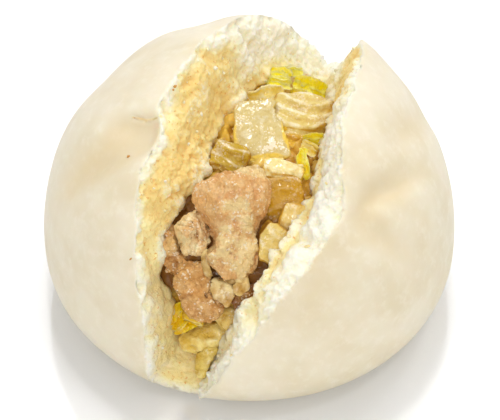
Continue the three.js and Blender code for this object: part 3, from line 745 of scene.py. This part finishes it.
def wetMaterial(name, light, dark, clear=0.35, wet=0.8, glints=0.4, glow=0.0):
    board = Board(name, (1.0, 0.9, 0.6), Subsurface_Weight=clear * 0.6, Subsurface_Scale=0.002, Coat_Roughness=0.1,
                  Roughness=0.4, Specular_IOR_Level=0.12, Emission_Strength=glow)
    rim = board.painted("rim")
    patch = board.cloud(2.6, 4, 0.6)
    fine = board.cloud(1.5, 3, 0.55)
    # the dark tone: the rims of stems, and painted shade in the hollows of soft pieces and leaf crinkles
    colour = board.blend(board.ease(rim + (patch - 0.5) * 0.6, 0.15, 0.85), tone(*light), tone(*dark))
    pale = tuple(min(255, value + lift) for value, lift in zip(light, wetValues["paleLift"]))
    colour = board.blend(board.ease(fine * 0.6 + patch * 0.4, 0.5, 0.62) * (1 - rim) * 0.7, colour, tone(*pale))
    deep = tuple(value * share for value, share in zip(dark, wetValues["soakShare"]))
    colour = board.blend(board.ease(board.cloud(3.6, 3, 0.6), 0.56, 0.72) * 0.25, colour, tone(*deep))
    glint = board.ease(board.cells(0.6) * -1.0 + board.cloud(3.6, 2) * 2.0, 0.72, 0.84)
    colour = board.blend(glint * (1 - rim) * glints, colour, tone(*wetValues["glint"]))
    # painted highlights along the stems' rib crests, and the leaves' pale edges
    colour = board.blend(board.painted("pale"), colour, tone(*wetValues["rib"]))
    relief = board.bump(fine, 1.2, 0.7)
    return board.show(Base_Color=colour, Emission_Color=colour, Normal=relief,
                      Coat_Weight=board.ease(patch, 0.38, 0.56) * wet)


# for each: the piece, its slot, its face and the painted shade in its hollows
softValues = {
    "fat_1": ("fatFront", "pork_fat", (236, 210, 148), (196, 152, 78)),
    "fat_2": ("fatPale", "pork_fat", (228, 202, 140), (186, 146, 76)),
    "fat_3": ("fatGrey", "pork_fat", (206, 172, 108), (150, 112, 52)),
    "fat_4": ("fatRight", "pork_fat", (234, 206, 140), (196, 152, 78)),
    "soft_cabbage_1": ("softRight", "soft_cabbage", (238, 206, 118), (206, 162, 58)),
    "soft_cabbage_2": ("softBottom", "soft_cabbage", (252, 230, 146), (228, 192, 84)),
    "soft_cabbage_3": ("softFoot", "soft_cabbage", (232, 206, 110), (204, 164, 52)),
}
softShape = {"voxel": 0.28, "rounds": 3, "lump": 2.6, "swell": 0.15}


def makeSoft(nodeName, pieceName, slotName, light, dark):
    piece = fromNode(nodeName, pieceName, softShape["voxel"], softShape["rounds"])
    mesh = piece.data
    places = placesOf(mesh)
    seed = sum(map(ord, nodeName)) % 17
    near, _, _, slant = lumps(stirred(places, 2, 0.6, seed), softShape["lump"], seed)
    height = (0.5 * (0.5 - near) + 0.18 * slant + 0.25 * softNoise(places, 1.2, seed)
              + 0.4 * softNoise(places, 3, seed))
    setPlaces(mesh, places + normalsOf(mesh) * (height + softShape["swell"])[:, None])
    # painted shade: the hollows between lumps take the darker tone
    paint(mesh, "rim", 0.5 - height)
    finishPiece(piece, wetMaterial(pieceName, light, dark), slotName, nodeName)


for softName, softLook in softValues.items():
    makeSoft(softName, *softLook)
print("fat and soft cabbage ready")

# for each: the piece, its size, how it narrows towards the back, how deep its ribs are, their painted highlight,
# its glints, its face and its rim
stemValues = {
    "cabbage_stem_1": ("stemSquare", 1.12, 0.24, 0.02, 0.0, 0.7, (214, 194, 132), (238, 204, 84)),
    "cabbage_stem_2": ("stemRibbed", 1.05, -0.08, 0.2, 0.55, 0.4, (222, 200, 122), (210, 166, 60)),
    "cabbage_stem_3": ("stemLeft", 1.05, 0.0, 0.12, 0.4, 0.3, (194, 158, 40), (178, 130, 10)),
    "cabbage_stem_4": ("stemStrip", 1.05, 0.0, 0.06, 0.3, 0.4, (240, 220, 150), (236, 190, 60)),
    "cabbage_stem_5": ("stemBrown", 1.0, 0.0, 0.1, 0.1, 0.15, (196, 148, 34), (164, 112, 8)),
    "cabbage_stem_6": ("stemRight", 1.0, 0.0, 0.06, 0.3, 0.25, (228, 200, 122), (204, 156, 48)),
    "cabbage_stem_7": ("stemLow", 1.0, 0.0, 0.08, 0.3, 0.25, (224, 196, 112), (198, 148, 42)),
    "cabbage_stem_8": ("stemCrescent", 1.0, 0.0, 0.05, 0.2, 0.25, (246, 226, 134), (232, 190, 52)),
}
# front and right are the ways in which the square stem faces and narrows
stemShape = {
    "voxel": 0.24, "square": 0.75, "front": (0.45, -0.89, 0.0), "right": (0.89, 0.45, 0.0), "hollow": 0.3,
    "warp": 0.5, "ribs": 2.1, "clear": 0.45, "wet": 0.9,
}


def slabAxes(middle):
    # the directions of the tightest box round a slab: long, wide and through it
    first, second, flat = np.linalg.svd(middle, full_matrices=False)[2]
    best = None
    for turn in np.radians(np.arange(0, 90, 3)):
        one, two = math.cos(turn) * first + math.sin(turn) * second, math.cos(turn) * second - math.sin(turn) * first
        area = np.ptp(middle @ one) * np.ptp(middle @ two)
        if best is None or area < best[0]:
            best = (area, one, two)
    return np.stack([best[1], best[2], flat])


def makeStem(nodeName, pieceName, size, taper, ribDepth, ribCrestHighlight, glints, light, dark):
    piece = fromNode(nodeName, pieceName, stemShape["voxel"], 1)
    mesh = piece.data
    places = placesOf(mesh)
    centre = (places.max(axis=0) + places.min(axis=0)) / 2
    axes = slabAxes(places - centre)
    local = (places - centre) @ axes.T
    half = np.ptp(local, axis=0) / 2
    share = np.abs((local - (local.max(axis=0) + local.min(axis=0)) / 2) / half)
    boxed = (share ** 3).sum(axis=1) ** (1 / 3) / (share ** 9).sum(axis=1) ** (1 / 9)
    local = local * (1 + stemShape["square"] * (boxed[:, None] - 1) * (1, 1, 0.5))
    places = size * local @ axes
    front, toRight = np.array(stemShape["front"]), np.array(stemShape["right"])
    near, right = places @ front / half.max(), places @ toRight / half.max()
    narrowing = taper * (right + 1) * (0.5 - 0.5 * near + stemShape["hollow"] * (1 - near ** 2)) * half.max()
    places = places - narrowing[:, None] * toRight + centre + (size - 1) * half.max() * 0.6 * front
    setPlaces(mesh, places)
    normal = normalsOf(mesh)
    outline = (share[:, :2] ** 6).sum(axis=1) ** (1 / 6) + 0.05 * softNoise(places, 3, 12)
    outline += 0.1 * (places - centre) @ front / half.max()
    edge = np.maximum(1 - smoothStep(np.abs(normal @ axes[2]), 0.5, 0.92), smoothStep(outline, 0.8, 0.93))
    places = places + stemShape["warp"] * np.stack([softNoise(places, 4, turn) for turn in (1, 2, 3)], axis=1)
    lane = local[:, 1] + 0.05 * local[:, 0] ** 2 + 0.8 * softNoise(places, 5, 3)
    rib = 0.5 + 0.5 * np.sin(stemShape["ribs"] * lane + softNoise(places, 6, 4))
    height = ribDepth * (2 * rib - 1) + 0.2 * softNoise(places, 2.8, 9) + 0.1 * softNoise(places, 0.9, 8)
    setPlaces(mesh, places + normal * (height + 0.1)[:, None])
    # painted highlights along the rib crests
    paint(mesh, "pale", ribCrestHighlight * smoothStep(rib + 0.25 * softNoise(places, 1.2, 5), 0.8, 1.05) * (1 - edge))
    paint(mesh, "rim", 0.85 * edge + min(1, 3 * ribDepth) * 0.7 * (1 - rib) * (1 - edge))
    material = wetMaterial(pieceName, light, dark, stemShape["clear"], stemShape["wet"], glints)
    finishPiece(piece, material, "cabbage_stem", nodeName)


for stemName, stemLook in stemValues.items():
    makeStem(stemName, *stemLook)
print("stems ready")

# for each: the piece, how many strips, the leaf and its shaded parts
leafValues = {
    "cabbage_leaf_1": ("leafTopLeft", 4, (255, 250, 140), (255, 238, 30)),
    "cabbage_leaf_2": ("leafTopEdge", 2, (255, 254, 180), (255, 244, 90)),
    "cabbage_leaf_3": ("leafTopRight", 3, (255, 248, 116), (255, 234, 12)),
    "cabbage_leaf_4": ("leafPaleCurl", 1, (252, 238, 170), (246, 214, 90)),
    "cabbage_leaf_5": ("leafGreen", 2, (250, 236, 80), (232, 210, 20)),
    "cabbage_leaf_6": ("leafCurl", 2, (250, 230, 150), (236, 200, 70)),
    "cabbage_leaf_7": ("leafStrip", 2, (254, 240, 70), (246, 214, 20)),
    "cabbage_leaf_8": ("leafLow", 3, (244, 208, 10), (230, 178, 0)),
}
leafShape = {
    "voxel": 0.4, "rows": 80, "columns": 12, "thick": 0.3, "wide": 1.5, "wave": 0.8, "tip": 1.2, "crinkle": 0.12,
    "pale": 0.1, "clear": 0.6, "wet": 0.8, "glints": 0.3, "glow": 0.06,
}


def makeLeaf(nodeName, pieceName, strips, light, dark):
    # crinkled strips lying side by side as far as the solid reaches
    solid = fromNode(nodeName, pieceName, leafShape["voxel"])
    places, normal = placesOf(solid.data), normalsOf(solid.data)
    middle = places.mean(axis=0)
    axes = np.linalg.svd(places - middle, full_matrices=False)[2]
    axes[2] *= np.sign(axes[2][2])
    local = (places - middle) @ axes.T
    top = local[normal @ axes[2] > 0.1]
    rows, columns = leafShape["rows"], leafShape["columns"]
    along = np.linspace(local[:, 0].min(), local[:, 0].max(), rows)
    slices = [local[np.abs(local[:, 0] - spot) < 0.7, 1] for spot in along]
    low, high = np.array([one.min() for one in slices]), np.array([one.max() for one in slices])
    seed = int(nodeName[-1])
    across = np.linspace(-1, 1, columns)[None]
    points, faces, rims, pales = [], [], [], []
    for strip in range(strips):
        line = np.stack([along, np.full(rows, 9.0 * strip), np.full(rows, 5.0 * seed)], axis=1)
        taper = np.minimum(1, 1.6 * np.sqrt(1 - np.linspace(-0.995, 0.995, rows) ** 2))
        wide = (leafShape["wide"] + 0.8 * softNoise(line, 1.6, 3)) / strips * taper / 2
        where = (strip + 0.5) / strips + 0.35 / strips * softNoise(line, 3.5, 6)
        share = np.clip(where[:, None] + wide[:, None] * across, -0.05, 1.05)
        sideways = low[:, None] + (high - low)[:, None] * share
        spots = np.stack([np.repeat(along[:, None], columns, axis=1), sideways], axis=2).reshape(-1, 2)
        near = np.argsort(((spots[:, None] - top[None, :, :2]) ** 2).sum(axis=2), axis=1)[:, :6]
        height = top[near, 2].mean(axis=1).reshape(rows, columns)
        height = height + 0.45 * across * (1 if strip % 2 else -1) + 0.35 * across ** 2 - 0.25
        wave = leafShape["wave"] * softNoise(line, 2.4, 8) + 0.35 * softNoise(line, 1.1, 9)
        height += wave[:, None] * (0.3 + across ** 2)
        height -= leafShape["tip"] * (1 - taper)[:, None]
        upper = np.stack([np.repeat(along[:, None], columns, axis=1), sideways, height], axis=2)
        lower = upper - (0, 0, leafShape["thick"])
        loop = np.concatenate([upper, lower[:, ::-1]], axis=1)
        around = loop.shape[1]
        start = len(points) * rows * around
        points.append(loop.reshape(-1, 3) @ axes + middle)
        rims.append(np.tile(1 - across[0] ** 2, 2 * rows))
        pales.append(np.tile(np.abs(across[0]) ** 6, 2 * rows))
        for row in range(rows - 1):
            for step in range(around):
                one, two = start + row * around + step, start + row * around + (step + 1) % around
                faces.append((one, two, two + around, one + around))
        faces.append(tuple(range(start + around - 1, start - 1, -1)))
        faces.append(tuple(range(start + (rows - 1) * around, start + rows * around)))
    mesh = solid.data
    mesh.clear_geometry()
    mesh.from_pydata(np.concatenate(points) * mm, [], faces)
    places = placesOf(mesh)
    crinkle = 1 - np.abs(cloudNoise(stirred(places, 2.4, 0.5, 2), 1.8, 4, 2)) * 2
    setPlaces(mesh, places + leafShape["crinkle"] * axes[2] * crinkle[:, None])
    # the darker tone fills each strip's middle and, as painted shade, the crinkles' hollows
    paint(mesh, "rim", np.concatenate(rims) * 0.9 - 0.4 * crinkle)
    paint(mesh, "pale", np.concatenate(pales) * leafShape["pale"])
    looks = [leafShape[name] for name in ("clear", "wet", "glints", "glow")]
    finishPiece(solid, wetMaterial(pieceName, light, dark, *looks), "cabbage_leaf", nodeName)


for leafName, leafLook in leafValues.items():
    makeLeaf(leafName, *leafLook)
print("leaves ready")


# for each: how many, half sizes, the scatter's seed, how far each is lifted out, how wet, and its tones
bitsValues = {
    "fillingShreds": {"count": 150, "size": (0.5, 1.3), "seed": 4, "lift": 0.15, "wet": 0.8,
                      "tones": ((0.0, (206, 154, 42)), (0.35, (240, 200, 90)), (0.7, (248, 224, 146)),
                                (1.0, (214, 164, 60)))},
    "looseCrumbs": {"count": 90, "size": (0.15, 0.5), "seed": 9, "lift": -0.1, "wet": 0.0,
                    "tones": ((0.0, (244, 214, 140)), (0.4, (250, 236, 190)), (1.0, (253, 247, 228)))},
    "skinSpecks": {"size": (0.28, 0.4), "seed": 2, "lift": 0, "wet": 0.3,
                   "tones": ((0.0, (176, 112, 40)), (1.0, (214, 150, 60)))},
}


def scatterBits(pieceName, source, spots, slotName):
    # small irregular bits at chosen points of a mesh, each half sunk where it lies
    values = bitsValues[pieceName]
    seed = values["seed"]
    rng = np.random.default_rng(seed)
    places, normal = placesOf(source), normalsOf(source)
    ball = bmesh.new()
    bmesh.ops.create_icosphere(ball, subdivisions=3, radius=1)
    ball.verts.ensure_lookup_table()
    shape = np.array([vert.co for vert in ball.verts])
    faces = np.array([[vert.index for vert in face.verts] for face in ball.faces])
    ball.free()
    points, corners, tags = [], [], []
    for number, spot in enumerate(spots):
        half = rng.uniform(*values["size"]) * rng.uniform(0.6, 1.4, 3)
        turned = np.linalg.qr(rng.normal(size=(3, 3)))[0]
        bit = shape * (1 + 0.45 * softNoise(shape + 7 * number, 0.9, seed)[:, None]
                       + 0.2 * softNoise(shape + 5 * number, 0.35, seed)[:, None])
        points.append((bit * half) @ turned + places[spot] + normal[spot] * half.mean() * values["lift"])
        corners.append(faces + number * len(shape))
        tags.append(np.full(len(shape), rng.random()))
    mesh = bpy.data.meshes.new(pieceName)
    mesh.from_pydata(np.concatenate(points) * mm, [], np.concatenate(corners).tolist())
    paint(mesh, "tag", np.concatenate(tags))
    piece = bpy.data.objects.new(pieceName, mesh)
    bpy.context.scene.collection.objects.link(piece)
    board = Board(pieceName, (1.0, 0.75, 0.4), Subsurface_Weight=0.35, Subsurface_Scale=0.002, Roughness=0.45,
                  Coat_Roughness=0.13, Coat_Weight=values["wet"])
    mottle = board.cloud(0.8, 3, 0.6)
    colour = board.ramp(board.painted("tag") + (mottle - 0.5) * 0.3, *values["tones"])
    finishPiece(piece, board.show(Base_Color=colour, Normal=board.bump(mottle, 0.5, 0.7)), slotName)


def pick(chosen, pieceName):
    values = bitsValues[pieceName]
    return np.random.default_rng(values["seed"]).choice(np.nonzero(chosen)[0], values["count"])


def makeBits():
    film = bpy.data.objects["sauceFilm"].data
    places, up = placesOf(film), normalsOf(film)[:, 2]
    bare = (up > 0.1) & (pocketLevel(places) < 0.97) & (porkShadowZone(places) < 0.5)
    scatterBits("fillingShreds", film, pick(bare, "fillingShreds"), "soft_cabbage")
    bread = bpy.data.objects["bread"].data
    places = placesOf(bread)
    wall = (skinDepth(places)[0] > 1.2) & (places[:, 2] > 8) & (pocketLevel(places) > 1.02)
    scatterBits("looseCrumbs", bread, pick(wall, "looseCrumbs"), "bread")
    spots = [np.argmin(np.linalg.norm(places - speck, axis=1)) for speck in bunValues["specks"]]
    scatterBits("skinSpecks", bread, spots, "bread")


makeBits()
print("bits ready")
